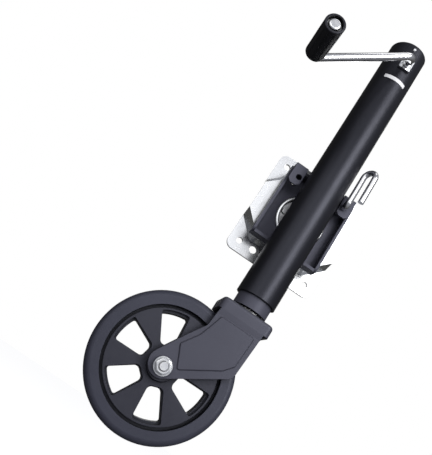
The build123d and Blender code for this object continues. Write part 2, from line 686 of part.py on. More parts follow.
with BuildPart() as drive_nut:
    with BuildSketch(level(NUT_TOP - NUT_H)):
        Circle(LEG_ID / 2)
        Circle(SCREW_D / 2 + RUNNING, mode=Mode.SUBTRACT)
    extrude(amount=NUT_H)
    add(nut_pins.part, mode=Mode.SUBTRACT)
drive_nut.part.label = "drive_nut"
export_step(drive_nut.part, "parts/drive_nut.step")

# Caster swivel: a kingpin through the fork's crown, with balls between two races.
SWIVEL_RACE_T = 2.2
SWIVEL_RACE_R = 22.4
SWIVEL_BALL_CIRCLE_R = 17.0
SWIVEL_BALL_COUNT = 18
SWIVEL_GROOVE = 0.7
SWIVEL_BALL_Z = FORK_TOP + SWIVEL_RACE_T - SWIVEL_GROOVE + BALL_R
SWIVEL_UPPER_Z = SWIVEL_BALL_Z + BALL_R - SWIVEL_GROOVE + ROLL_CLEAR
PLUG_BOTTOM = SWIVEL_UPPER_Z + SWIVEL_RACE_T
FORK_CROWN_T = 4.0
KINGPIN_CLEAR_R = KINGPIN_D / 2 + RUNNING
KINGPIN_WASHER_R = 15.0
KINGPIN_WASHER_T = 3.0
KINGPIN_NUT_H = 10.0
KINGPIN_NUT_FLAT = 24.0
KINGPIN_PROUD = 1.5
KINGPIN_CHAMFER = 1.2
KINGPIN_WASHER_Z = FORK_TOP - FORK_CROWN_T - GAP - KINGPIN_WASHER_T
KINGPIN_NUT_Z = KINGPIN_WASHER_Z - KINGPIN_NUT_H
KINGPIN_BOTTOM = KINGPIN_NUT_Z - KINGPIN_PROUD

with BuildPart() as kingpin_plug:
    with BuildSketch(level(PLUG_BOTTOM)):
        Circle(LEG_ID / 2)
        Circle(KINGPIN_D / 2, mode=Mode.SUBTRACT)
    extrude(amount=PLUG_H)
kingpin_plug.part.label = "kingpin_plug"
export_step(kingpin_plug.part, "parts/kingpin_plug.step")

with BuildPart() as kingpin:
    with BuildSketch(level(KINGPIN_BOTTOM)):
        Circle(KINGPIN_D / 2)
    extrude(amount=PLUG_BOTTOM + PLUG_H - KINGPIN_BOTTOM)
    chamfer(kingpin.edges().group_by(Axis.Z)[0], KINGPIN_CHAMFER)
    with BuildSketch(level(PLUG_BOTTOM + PLUG_H)):
        Circle(KINGPIN_HEAD_R)
    extrude(amount=KINGPIN_HEAD_H)
kingpin.part.label = "kingpin"
export_step(kingpin.part, "parts/kingpin.step")

swivel_race_upper = race(
    SWIVEL_UPPER_Z, SWIVEL_BALL_Z, SWIVEL_BALL_CIRCLE_R, KINGPIN_D / 2, SWIVEL_RACE_R, SWIVEL_RACE_T, ROLL_R
)
swivel_race_upper.label = "swivel_race_upper"
export_step(swivel_race_upper, "parts/swivel_race_upper.step")

swivel_race_lower = race(
    FORK_TOP, SWIVEL_BALL_Z, SWIVEL_BALL_CIRCLE_R, KINGPIN_D / 2 + GAP, SWIVEL_RACE_R, SWIVEL_RACE_T, CARRY_R
)
swivel_race_lower.label = "swivel_race_lower"
export_step(swivel_race_lower, "parts/swivel_race_lower.step")

with BuildPart() as swivel_balls:
    with Locations((0, AXIS_Y, SWIVEL_BALL_Z)):
        with PolarLocations(SWIVEL_BALL_CIRCLE_R, SWIVEL_BALL_COUNT):
            Sphere(BALL_R)
swivel_balls.part.label = "swivel_balls"
export_step(swivel_balls.part, "parts/swivel_balls.step")

with BuildPart() as kingpin_washer:
    with BuildSketch(level(KINGPIN_WASHER_Z)):
        Circle(KINGPIN_WASHER_R)
        Circle(KINGPIN_D / 2, mode=Mode.SUBTRACT)
    extrude(amount=KINGPIN_WASHER_T)
kingpin_washer.part.label = "kingpin_washer"
export_step(kingpin_washer.part, "parts/kingpin_washer.step")

with BuildPart() as kingpin_nut:
    with BuildSketch(level(KINGPIN_NUT_Z)):
        RegularPolygon(KINGPIN_NUT_FLAT / 2, 6, major_radius=False)
        Circle(KINGPIN_D / 2, mode=Mode.SUBTRACT)
    extrude(amount=KINGPIN_NUT_H)
kingpin_nut.part.label = "kingpin_nut"
export_step(kingpin_nut.part, "parts/kingpin_nut.step")

# ================================================================ caster fork
CROWN_LEFT = -42.5
CROWN_RIGHT = 37.5
CROWN_HALF_Y = 30.7
CROWN_H = 17.5
CROWN_CORNER_R = 8.0
CROWN_EDGE_R = 5.0
CROWN_BOTTOM = FORK_TOP - CROWN_H
BEND_Z = AXLE_Z + 97.0
CHEEK_END_R = 19.0
CHEEK_END_X = AXLE_X - 2.0
CHEEK_END_Z = AXLE_Z + 3.0
PANEL_RISE = 1.8
PANEL_TAPER = 40
PANEL_CORNER_R = 4.0
PANEL_BACK_INSET = 3.5
HEEL_R = 15.0
SHOULDER_R = 10.0
NECK_R = 14.0
CHEEK_LEFT = -38.0              # cheek edges where they meet the crown
CHEEK_RIGHT = 29.0
CHEEK_TOP = 110.0


def from_axle(x, z):
    """Point on the fork given by its distance right of and above a point level with the wheel axle."""
    return (x, AXLE_Z + z)


HEEL = from_axle(24.1, 35.6)
SHOULDER = from_axle(-41, 76)
NECK = from_axle(-55, 54)


def end_point(degrees):
    """Point on the round end of a cheek."""
    angle = math.radians(degrees)
    return (CHEEK_END_X + CHEEK_END_R * math.cos(angle), CHEEK_END_Z + CHEEK_END_R * math.sin(angle))


def cheek_sheet(outer_y):
    """Flat blank of one fork cheek on a plane facing the crank side."""
    with BuildSketch(front(outer_y)) as sheet:
        with BuildLine():
            lower = end_point(-57.6)
            upper = end_point(148.7)
            ThreePointArc(upper, end_point(225), lower)
            Polyline(
                lower, HEEL, from_axle(CHEEK_RIGHT + 0.5, CHEEK_TOP), from_axle(CHEEK_LEFT, CHEEK_TOP),
                SHOULDER, NECK, upper,
            )
        make_face()
        for corner, radius in ((HEEL, HEEL_R), (SHOULDER, SHOULDER_R), (NECK, NECK_R)):
            fillet(sheet.vertices().sort_by_distance(corner)[0], radius)
    return sheet.sketch


def panel_sketch(outer_y, inset):
    """Pressed panel in the middle of a cheek."""
    with BuildSketch(front(outer_y)) as panel:
        Polygon(
            from_axle(-44, 5), from_axle(7.5, 36.5), from_axle(19, 50), from_axle(21.5, 96),
            from_axle(-32, 96), from_axle(-36, 82), from_axle(-43.5, 60), from_axle(-59, 36.5),
            align=None,
        )
        offset(amount=-inset - PANEL_CORNER_R)
        offset(amount=PANEL_CORNER_R)
    return panel.sketch


with BuildPart() as fork:
    with BuildSketch(level(CROWN_BOTTOM)):
        with Locations(((CROWN_LEFT + CROWN_RIGHT) / 2, 0)):
            RectangleRounded(CROWN_RIGHT - CROWN_LEFT, 2 * CROWN_HALF_Y, CROWN_CORNER_R)
    extrude(amount=CROWN_H)
    fillet(fork.edges().group_by(Axis.Z)[-1], CROWN_EDGE_R)
    with BuildSketch(level(CROWN_BOTTOM)):
        with Locations(((CROWN_LEFT + CROWN_RIGHT) / 2, 0)):
            RectangleRounded(
                CROWN_RIGHT - CROWN_LEFT - 2 * SHEET_T, 2 * (CROWN_HALF_Y - SHEET_T),
                CROWN_CORNER_R - SHEET_T,
            )
    extrude(amount=CROWN_H - FORK_CROWN_T, mode=Mode.SUBTRACT)
    for side in (-1, 1):
        outer = AXIS_Y + side * CHEEK_OUTER
        add(cheek_sheet(outer))
        extrude(amount=SHEET_T, dir=(0, -side, 0))
        add(panel_sketch(outer, 0))
        extrude(amount=PANEL_RISE, dir=(0, side, 0), taper=PANEL_TAPER)
        add(panel_sketch(outer - side * SHEET_T, PANEL_BACK_INSET))
        extrude(amount=PANEL_RISE, dir=(0, side, 0), mode=Mode.SUBTRACT)
        with BuildSketch(sideways(CHEEK_LEFT)):
            Polygon(
                (outer, BEND_Z), (AXIS_Y + side * CROWN_HALF_Y, CROWN_BOTTOM),
                (AXIS_Y + side * (CROWN_HALF_Y - SHEET_T), CROWN_BOTTOM), (outer - side * SHEET_T, BEND_Z),
                align=None,
            )
        extrude(amount=CHEEK_RIGHT - CHEEK_LEFT)
    with BuildSketch(level(CROWN_BOTTOM)):
        Circle(KINGPIN_CLEAR_R)
    extrude(amount=CROWN_H, mode=Mode.SUBTRACT)
    with BuildSketch(front(AXIS_Y, AXLE_X, AXLE_Z)):
        Circle(AXLE_D / 2)
    extrude(amount=2 * CHEEK_OUTER, both=True, mode=Mode.SUBTRACT)
fork.part.label = "fork"
export_step(fork.part, "parts/fork.step")

# ================================================================ axle
WASHER_R = 12.5
WASHER_T = 2.4
AXLE_NUT_H = 10.5
AXLE_HEAD_H = 8.0
HEX_FLAT = 19.0
AXLE_PROUD = 2.5
AXLE_CHAMFER = 1.0
NUT_CHAMFER_W = 0.6
NUT_CHAMFER_H = 5.0
WASHER_OUT = CHEEK_OUTER + WASHER_T
AXLE_END = WASHER_OUT + AXLE_NUT_H + AXLE_PROUD
NUT_FACE_Y = AXIS_Y - WASHER_OUT - AXLE_NUT_H

with BuildPart() as axle_bolt:
    with BuildSketch(front(AXIS_Y + WASHER_OUT, AXLE_X, AXLE_Z)):
        Circle(AXLE_D / 2)
    extrude(amount=WASHER_OUT + AXLE_END)
    chamfer(axle_bolt.edges().group_by(Axis.Y)[0], AXLE_CHAMFER)
    with BuildSketch(front(AXIS_Y + WASHER_OUT, AXLE_X, AXLE_Z)):
        RegularPolygon(HEX_FLAT / 2, 6, major_radius=False)
    extrude(amount=-AXLE_HEAD_H)
axle_bolt.part.label = "axle_bolt"
export_step(axle_bolt.part, "parts/axle_bolt.step")

with BuildPart() as axle_nut:
    with BuildSketch(front(AXIS_Y - WASHER_OUT, AXLE_X, AXLE_Z)):
        RegularPolygon(HEX_FLAT / 2, 6, major_radius=False)
    extrude(amount=AXLE_NUT_H)
    with BuildSketch(Plane(origin=(AXLE_X, 0, AXLE_Z))):
        Polygon(
            (HEX_FLAT / 2 - NUT_CHAMFER_W, NUT_FACE_Y), (HEX_FLAT, NUT_FACE_Y),
            (HEX_FLAT, NUT_FACE_Y + NUT_CHAMFER_H),
            align=None,
        )
    revolve(axis=Axis((AXLE_X, 0, AXLE_Z), (0, 1, 0)), mode=Mode.SUBTRACT)
    with BuildSketch(front(AXIS_Y - WASHER_OUT, AXLE_X, AXLE_Z)):
        Circle(AXLE_D / 2)
    extrude(amount=AXLE_NUT_H, mode=Mode.SUBTRACT)
axle_nut.part.label = "axle_nut"
export_step(axle_nut.part, "parts/axle_nut.step")

with BuildPart() as axle_washers:
    for side in (-1, 1):
        with BuildSketch(front(AXIS_Y + side * CHEEK_OUTER, AXLE_X, AXLE_Z)):
            Circle(WASHER_R)
            Circle(AXLE_D / 2, mode=Mode.SUBTRACT)
        extrude(amount=-side * WASHER_T)
axle_washers.part.label = "axle_washers"
export_step(axle_washers.part, "parts/axle_washers.step")

with BuildPart() as axle_sleeve:
    with BuildSketch(front(AXIS_Y, AXLE_X, AXLE_Z)):
        Circle(SLEEVE_D / 2)
        Circle(AXLE_D / 2, mode=Mode.SUBTRACT)
    extrude(amount=CHEEK_OUTER - SHEET_T, both=True)
axle_sleeve.part.label = "axle_sleeve"
export_step(axle_sleeve.part, "parts/axle_sleeve.step")

# ================================================================ wheel
HUB_HALF = 24.4
HUB_R_OUTER = 19.0
DISC_HALF = 16.0
GROOVE_INNER_R = 75.5
GROOVE_HALF = 9.0
BUSH_LENGTH = 18.0
BUSH_FLANGE_R = 15.0
BUSH_FLANGE_T = 1.3
HUB_DRAFT = 1.5
WINDOW_OUTER_R = 69.5
WINDOW_INNER_R = 27.5
POCKET_OUTER_R = 73.0
POCKET_DEPTH = 6.0
POCKET_GROW = 1.2
WINDOW_OUTER_HALF = 18.1
WINDOW_INNER_HALF = 9.3
WINDOW_INNER_CORNER_R = 7.0
WINDOW_OUTER_CORNER_R = 3.0
WHEEL_AXIS = Axis((AXLE_X, AXIS_Y, AXLE_Z), (0, 1, 0))


def wheel_plane(offset_y):
    """Plane across the wheel, facing the crank side, centred on the axle."""
    return front(AXIS_Y + offset_y, AXLE_X, AXLE_Z)


def window_sketch(plane, grow, outer_r):
    """One wedge window pointing along local x, grown all round by a given amount."""
    with BuildSketch(plane) as window:
        with BuildLine():
            outer_half = WINDOW_OUTER_HALF + grow
            inner_half = WINDOW_INNER_HALF + grow
            outer_x = math.sqrt(outer_r ** 2 - outer_half ** 2)
            inner_x = WINDOW_INNER_R - grow
            ThreePointArc((outer_x, -outer_half), (outer_r, 0), (outer_x, outer_half))
            Polyline(
                (outer_x, outer_half), (inner_x, inner_half), (inner_x, -inner_half),
                (outer_x, -outer_half),
            )
        make_face()
        corners = window.vertices().sort_by(SortBy.DISTANCE)
        fillet(corners[:2], WINDOW_INNER_CORNER_R)
        corners = window.vertices().sort_by(SortBy.DISTANCE)
        fillet(corners[-2:], WINDOW_OUTER_CORNER_R)
    return window.sketch


with BuildPart() as window_cut:
    add(window_sketch(Plane.XY, 0.0, WINDOW_OUTER_R))
    extrude(amount=TYRE_HALF, both=True)
    add(window_sketch(Plane.XY.offset(DISC_HALF - POCKET_DEPTH), POCKET_GROW, POCKET_OUTER_R))
    extrude(amount=POCKET_DEPTH + OVERCUT)
    add(window_sketch(Plane.XY.offset(-DISC_HALF - OVERCUT), POCKET_GROW, POCKET_OUTER_R))
    extrude(amount=POCKET_DEPTH + OVERCUT)

with BuildPart(wheel_plane(0)) as wheel_core:
    with BuildSketch(Plane(origin=(AXLE_X, AXIS_Y, AXLE_Z))):
        Polygon(
            (HUB_BUSH_D / 2, -HUB_HALF), (HUB_R_OUTER, -HUB_HALF), (HUB_R_OUTER + HUB_DRAFT, -DISC_HALF),
            (GROOVE_INNER_R, -DISC_HALF), (GROOVE_INNER_R, -GROOVE_HALF), (TYRE_INNER_R, -GROOVE_HALF),
            (TYRE_INNER_R, GROOVE_HALF), (GROOVE_INNER_R, GROOVE_HALF), (GROOVE_INNER_R, DISC_HALF),
            (HUB_R_OUTER + HUB_DRAFT, DISC_HALF), (HUB_R_OUTER, HUB_HALF), (HUB_BUSH_D / 2, HUB_HALF),
            align=None,
        )
    revolve(axis=WHEEL_AXIS)
    with PolarLocations(0, WINDOWS, start_angle=WINDOW_START):
        add(window_cut.part, mode=Mode.SUBTRACT)
wheel_core.part.label = "wheel_core"
export_step(wheel_core.part, "parts/wheel_core.step")

TREAD_EDGE = (WHEEL_R - 0.6, TYRE_HALF - 8.4)
SHOULDER_MID = (WHEEL_R - 3.2, TYRE_HALF - 2.6)
SIDEWALL_TOP = (WHEEL_R - 9.0, TYRE_HALF)


def mirrored(point):
    """The same profile point on the tyre's other side."""
    return (point[0], -point[1])


with BuildPart() as tyre:
    with BuildSketch(Plane(origin=(AXLE_X, AXIS_Y, AXLE_Z))):
        with BuildLine():
            Polyline(
                SIDEWALL_TOP, (TYRE_INNER_R, TYRE_HALF), (TYRE_INNER_R, -TYRE_HALF),
                mirrored(SIDEWALL_TOP),
            )
            ThreePointArc(mirrored(SIDEWALL_TOP), mirrored(SHOULDER_MID), mirrored(TREAD_EDGE))
            ThreePointArc(mirrored(TREAD_EDGE), (WHEEL_R, 0), TREAD_EDGE)
            ThreePointArc(TREAD_EDGE, SHOULDER_MID, SIDEWALL_TOP)
        make_face()
    revolve(axis=WHEEL_AXIS)
tyre.part.label = "tyre"
export_step(tyre.part, "parts/tyre.step")

with BuildPart() as hub_bushes:
    for side in (-1, 1):
        with BuildSketch(wheel_plane(side * (HUB_HALF - BUSH_LENGTH))):
            Circle(HUB_BUSH_D / 2)
        extrude(amount=-side * BUSH_LENGTH)
        with BuildSketch(wheel_plane(side * HUB_HALF)):
            Circle(BUSH_FLANGE_R)
        extrude(amount=-side * BUSH_FLANGE_T)
    with BuildSketch(wheel_plane(0)):
        Circle(SLEEVE_D / 2 + RUNNING)
    extrude(amount=CHEEK_OUTER, both=True, mode=Mode.SUBTRACT)
hub_bushes.part.label = "hub_bushes"
export_step(hub_bushes.part, "parts/hub_bushes.step")

# ================================================================ lock pin, shown pulled clear of the plate
PIN_TIP_Y = WEB_BACK - GAP
PIN_LEG_Y = AXIS_Y - 4.5
PIN_BEND_R = 7.3
HOOK_BEND_R = 10.1
PIN_CHAMFER = 1.0
HOOK_DX = 11.3
HOOK_DY = -17.0
HOOK_TOP_Z = 111.4
HOOK_END_Z = 56.0
COLLAR_Y = -34.2
COLLAR_T = 3.0
COLLAR_R = 7.4
SPRING_WIRE_R = 0.8
SPRING_R = 6.0
SPRING_TURNS = 4

with BuildPart() as lock_pin:
    with BuildLine() as pin_path:
        FilletPolyline(
            (PIN_X, PIN_TIP_Y, PIN_Z),
            (PIN_X, PIN_LEG_Y, PIN_Z),
            (PIN_X, PIN_LEG_Y, HOOK_TOP_Z),
            (PIN_X + HOOK_DX, PIN_LEG_Y + HOOK_DY, HOOK_TOP_Z),
            (PIN_X + HOOK_DX, PIN_LEG_Y + HOOK_DY, HOOK_END_Z),
            radius=(PIN_BEND_R, HOOK_BEND_R, HOOK_BEND_R),
        )
    with BuildSketch(front(PIN_TIP_Y, PIN_X, PIN_Z)):
        Circle(PIN_D / 2)
    sweep(path=pin_path.line)
    chamfer(lock_pin.edges().group_by(Axis.Y)[-1], PIN_CHAMFER)
lock_pin.part.label = "lock_pin"
export_step(lock_pin.part, "parts/lock_pin.step")

with BuildPart() as pin_collar:
    with BuildSketch(front(COLLAR_Y, PIN_X, PIN_Z)):
        Circle(COLLAR_R)
        Circle(PIN_D / 2, mode=Mode.SUBTRACT)
    extrude(amount=COLLAR_T)
pin_collar.part.label = "pin_collar"
export_step(pin_collar.part, "parts/pin_collar.step")

# Coil spring that pushes the pin home, squeezed between the ear and the collar.
with BuildPart() as lock_spring:
    spring_length = COLLAR_Y - COLLAR_T - (EAR_FRONT + SHEET_T) - 2 * SPRING_WIRE_R
    coil_start = (PIN_X, COLLAR_Y - COLLAR_T - SPRING_WIRE_R, PIN_Z)
    with BuildLine() as coil_path:
        Helix(
            spring_length / SPRING_TURNS, spring_length, SPRING_R,
            center=coil_start, direction=(0, -1, 0),
        )
    with BuildSketch(Plane(coil_path.line @ 0, z_dir=coil_path.line % 0)):
        Circle(SPRING_WIRE_R)
    sweep(path=coil_path.line)
lock_spring.part.label = "lock_spring"
export_step(lock_spring.part, "parts/lock_spring.step")
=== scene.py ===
import bpy
import bmesh
import json
import math
from mathutils import Matrix, Vector


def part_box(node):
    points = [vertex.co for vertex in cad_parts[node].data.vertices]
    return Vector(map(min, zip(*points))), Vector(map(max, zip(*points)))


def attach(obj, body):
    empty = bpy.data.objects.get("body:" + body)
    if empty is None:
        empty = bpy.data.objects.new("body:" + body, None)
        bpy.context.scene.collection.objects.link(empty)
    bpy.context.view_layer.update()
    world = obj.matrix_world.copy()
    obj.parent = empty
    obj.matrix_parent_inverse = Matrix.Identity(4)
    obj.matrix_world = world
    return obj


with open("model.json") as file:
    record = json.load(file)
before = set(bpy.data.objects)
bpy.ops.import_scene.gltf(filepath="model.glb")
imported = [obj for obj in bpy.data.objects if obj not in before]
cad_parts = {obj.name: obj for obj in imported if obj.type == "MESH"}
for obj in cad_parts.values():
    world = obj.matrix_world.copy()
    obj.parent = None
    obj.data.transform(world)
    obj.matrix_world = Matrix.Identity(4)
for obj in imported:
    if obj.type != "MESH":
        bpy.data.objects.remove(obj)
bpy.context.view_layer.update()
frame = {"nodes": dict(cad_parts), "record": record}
nodes = frame["nodes"]

# Camera: below the middle of the jack, looking slightly up, rolled so that the tube leans right.
CAMERA_AT = Vector((-0.12989, -0.85000, -0.33689))
CAMERA_AZIMUTH = math.radians(1.97)       # to the right of +Y
CAMERA_RISE = math.radians(17.05)         # above level
CAMERA_ROLL = math.radians(34.08)         # raises the right-hand side of the frame
CAMERA_LENS = 46.02
SENSOR = 36.0
FLOOR_Z = -0.70
FLOOR_HALF = 6.0
ROOM_FRONT = (0.30, -0.93, 0.20)       # direction of the room's light side


# ---------------------------------------------------------------- materials
class Material:
    """A node material under construction: one shader, object coordinates, and helpers for its inputs."""

    def __init__(self, name, **sockets):
        self.material = bpy.data.materials.new(name)
        self.material.use_nodes = True
        self.tree = self.material.node_tree
        self.shader = self.tree.nodes["Principled BSDF"]
        self.coords = self.tree.nodes.new("ShaderNodeTexCoord")
        self.edge = None
        for socket, value in sockets.items():
            self.shader.inputs[socket.replace("_", " ")].default_value = value

    def link(self, a, b):
        self.tree.links.new(a, b)

    def mapped(self, stretch=(1, 1, 1)):
        """Object coordinates, stretched per axis."""
        mapping = self.tree.nodes.new("ShaderNodeMapping")
        mapping.inputs["Scale"].default_value = stretch
        self.link(self.coords.outputs["Object"], mapping.inputs["Vector"])
        return mapping.outputs["Vector"]

    def noise(self, scale, detail=4.0, rough=0.55, stretch=(1, 1, 1)):
        noise = self.tree.nodes.new("ShaderNodeTexNoise")
        noise.inputs["Scale"].default_value = scale
        noise.inputs["Detail"].default_value = detail
        noise.inputs["Roughness"].default_value = rough
        self.link(self.mapped(stretch), noise.inputs["Vector"])
        return noise.outputs["Fac"]

    def cells(self, scale, feature="F1"):
        cells = self.tree.nodes.new("ShaderNodeTexVoronoi")
        cells.feature = feature
        cells.inputs["Scale"].default_value = scale
        self.link(self.mapped(), cells.inputs["Vector"])
        return cells.outputs["Distance"]

    def spread(self, fac, low, high, start=0.3, end=0.7):
        """Maps a texture's start..end range onto low..high."""
        ranges = self.tree.nodes.new("ShaderNodeMapRange")
        ranges.inputs["From Min"].default_value = start
        ranges.inputs["From Max"].default_value = end
        ranges.inputs["To Min"].default_value = low
        ranges.inputs["To Max"].default_value = high
        self.link(fac, ranges.inputs["Value"])
        return ranges.outputs["Result"]

    def ramp(self, fac, *stops):
        """Colour ramp; each stop is (position, (r, g, b))."""
        ramp = self.tree.nodes.new("ShaderNodeValToRGB")
        elements = ramp.color_ramp.elements
        while len(elements) < len(stops):
            elements.new(0.5)
        for element, (position, colour) in zip(elements, stops):
            element.position = position
            element.color = (*colour, 1)
        self.link(fac, ramp.inputs["Fac"])
        return ramp.outputs["Color"]

    def mix(self, fac, a, b):
        """Mixes two colour outputs."""
        mix = self.tree.nodes.new("ShaderNodeMix")
        mix.data_type = "RGBA"
        self.link(fac, mix.inputs["Factor"])
        self.link(a, mix.inputs["A"])
        self.link(b, mix.inputs["B"])
        return mix.outputs["Result"]

    def colour(self, output):
        self.link(output, self.shader.inputs["Base Color"])

    def rough(self, output):
        self.link(output, self.shader.inputs["Roughness"])

    def bevel(self, radius):
        """Softens the shading of sharp edges, as a coat of paint or plating does."""
        bevel = self.tree.nodes.new("ShaderNodeBevel")
        bevel.samples = 6
        bevel.inputs["Radius"].default_value = radius
        self.edge = bevel.outputs["Normal"]

    def painted_crevice_shade(self, colour, dark, reach):
        """Darkens a colour in corners and grooves by ambient occlusion, as painted shade."""
        corner = self.tree.nodes.new("ShaderNodeAmbientOcclusion")
        corner.samples = 8
        corner.inputs["Distance"].default_value = reach
        shade = self.tree.nodes.new("ShaderNodeRGB")
        shade.outputs["Color"].default_value = (*dark, 1)
        return self.mix(self.spread(corner.outputs["AO"], 0.0, 1.0, 0.35, 0.9), shade.outputs["Color"], colour)

    def bump(self, *layers):
        """Stacks bump layers given as (height output, strength, distance in metres)."""
        normal = self.edge
        for height, strength, distance in layers:
            bump = self.tree.nodes.new("ShaderNodeBump")
            bump.inputs["Strength"].default_value = strength
            bump.inputs["Distance"].default_value = distance
            self.link(height, bump.inputs["Height"])
            if normal:
                self.link(normal, bump.inputs["Normal"])
            normal = bump.outputs["Normal"]
        self.link(normal, self.shader.inputs["Normal"])


def powder_coat(name, dark, light, gloss):
    """Semi-gloss powder coat: orange peel, faint dust and handling marks."""
    m = Material(name, Specular_Tint=(0.82, 0.84, 1.0, 1.0))
    m.bevel(0.0007)
    cloud = m.noise(9, 5)
    # Base colour darkened towards near black in corners and grooves: painted shade.
    m.colour(m.painted_crevice_shade(m.ramp(cloud, (0.3, dark), (0.75, light)), (0.003, 0.003, 0.004), 0.008))
    scuff = m.noise(60, 6, 0.7, (1, 1, 0.25))
    m.rough(m.spread(scuff, gloss - 0.03, gloss + 0.08, 0.35, 0.75))
    m.bump((m.noise(700, 2), 0.14, 0.0004), (m.cells(1300), 0.06, 0.0002))
    return m.material


def zinc_plate(name, shade, tint, bright, gloss):
    """Bright zinc plate: cloudy patches, fine drawn lines and small pits."""
    m = Material(name, Metallic=1.0)
    cloud = m.noise(38, 4, 0.5)
    # Base colour darkened in corners and grooves: painted shade.
    m.colour(m.painted_crevice_shade(m.ramp(cloud, (0.25, shade), (0.5, tint), (0.8, bright)), (0.16, 0.16, 0.15), 0.004))
    m.rough(m.spread(m.noise(110, 3, 0.5), gloss - 0.02, gloss + 0.06, 0.3, 0.75))
    m.bump((m.noise(420, 3, 0.6), 0.03, 0.0003), (m.noise(1400, 2), 0.02, 0.0002))
    return m.material


def machined_steel(name, tint, gloss):
    """Turned steel with a film of oil."""
    m = Material(name, Metallic=1.0, Coat_Weight=0.3, Coat_Roughness=0.12)
    m.bevel(0.0003)
    m.colour(m.ramp(m.noise(55, 5), (0.3, tuple(0.72 * c for c in tint)), (0.7, tint)))
    m.rough(m.spread(m.noise(700, 3), gloss - 0.06, gloss + 0.12))
    m.bump((m.noise(1600, 2), 0.15, 0.0002))
    return m.material


def moulded(name, dark, light, gloss, grain=1100, depth=0.0003):
    """Moulded plastic: fine spark-eroded grain and slight flow marks."""
    m = Material(name, Specular_Tint=(0.86, 0.88, 1.0, 1.0))
    m.bevel(0.0006)
    # Base colour darkened in corners and grooves: painted shade.
    m.colour(m.painted_crevice_shade(m.ramp(m.noise(14, 5, 0.6), (0.3, dark), (0.75, light)), tuple(0.12 * c for c in dark), 0.012))
    m.rough(m.spread(m.noise(90, 5, 0.65), gloss - 0.05, gloss + 0.10))
    m.bump((m.noise(grain, 2), 0.2, depth), (m.noise(60, 3), 0.05, 0.0008))
    return m.material


BLACK = powder_coat("black_powder_coat", (0.004, 0.004, 0.006), (0.008, 0.008, 0.011), 0.37)
BLACK_DULL = powder_coat("black_powder_coat_dull", (0.060, 0.060, 0.080), (0.080, 0.080, 0.103), 0.48)
GREY = powder_coat("grey_powder_coat", (0.052, 0.052, 0.068), (0.070, 0.070, 0.090), 0.46)
ZINC = zinc_plate("bright_zinc", (0.72, 0.73, 0.74), (0.78, 0.79, 0.80), (0.84, 0.84, 0.84), 0.24)
ZINC_ROD = zinc_plate("bright_zinc_rod", (0.70, 0.70, 0.71), (0.84, 0.84, 0.85), (0.90, 0.90, 0.91), 0.16)
HARDWARE = zinc_plate("bright_zinc_hardware", (0.84, 0.86, 0.88), (0.92, 0.93, 0.94), (0.96, 0.96, 0.96), 0.30)
STEEL = machined_steel("machined_steel", (0.55, 0.55, 0.56), 0.30)
# Greased steel for the swivel races, darkened further as painted shade for the gap between leg and fork crown.
GREASED_AND_SHADED = machined_steel("greased_and_shaded_steel", (0.09, 0.09, 0.09), 0.26)
GRIP = moulded("grip_rubber", (0.007, 0.007, 0.009), (0.013, 0.013, 0.017), 0.45)
LABEL = moulded("label_foil", (0.92, 0.92, 0.94), (0.97, 0.97, 0.98), 0.30, 2400, 0.0001)
NYLON = moulded("natural_nylon", (0.62, 0.60, 0.54), (0.72, 0.70, 0.64), 0.42)
WHEEL = moulded("wheel_plastic", (0.022, 0.022, 0.031), (0.032, 0.032, 0.043), 0.42)
TYRE = moulded("tyre_poly", (0.033, 0.034, 0.049), (0.044, 0.045, 0.064), 0.46)

FINISH = {
    "black_paint": BLACK, "grey_paint": GREY, "zinc": ZINC, "bare_steel": STEEL, "grip_rubber": GRIP,
    "label": LABEL, "nylon": NYLON, "wheel_plastic": WHEEL, "tyre_poly": TYRE,
}


def paint(thing, material):
    """Gives every slot of an object the one material."""
    if not thing.material_slots:
        thing.data.materials.append(material)
    for slot in thing.material_slots:
        slot.material = material


for part in frame["record"]["subparts"]:
    paint(nodes[part["node"]], FINISH[part["material_slot"]])
for name in ("crank_rod", "lock_pin"):
    paint(nodes[name], ZINC_ROD)
for name in ("axle_bolt", "axle_nut", "axle_washers", "grip_retainer", "front_bearing", "rear_bearing", "cap_rivets",
             "swivel_retainer", "retainer_rivets", "shaft_clip"):
    paint(nodes[name], HARDWARE)
# Swivel races: greased, and dark as painted shade in the gap under the leg.
for name in ("swivel_race_upper", "swivel_race_lower"):
    paint(nodes[name], GREASED_AND_SHADED)
for name in ("swivel_channel", "upper_saddle", "lower_saddle", "inner_tube"):
    paint(nodes[name], BLACK_DULL)


# ---------------------------------------------------------------- weld beads
WELD_RIPPLE = 0.0026        # length of one overlapping ripple
WELD_STEP = 0.00045         # length of one ring of the mesh
WELD_RING = 10              # points round the bead
WELD_SQUASH = 0.85          # height of a bead over its width
WELD_TAPER = 1.4            # length of each tapered end, in radii
TUBE_WELD_R = 0.0030
FRONT_WELD_R = 0.0026
FLANGE_WELD_R = 0.0022
FLANGE_WELD_START = 0.001   # from the saddle's front face
FLANGE_WELD_END = 0.0155
TUBE_R = 0.03015
TUBE_Y = -0.061
TUBE_STAND_OFF = 0.0006     # centre of a round bead outside the tube's wall
ROUND_STEPS = 40


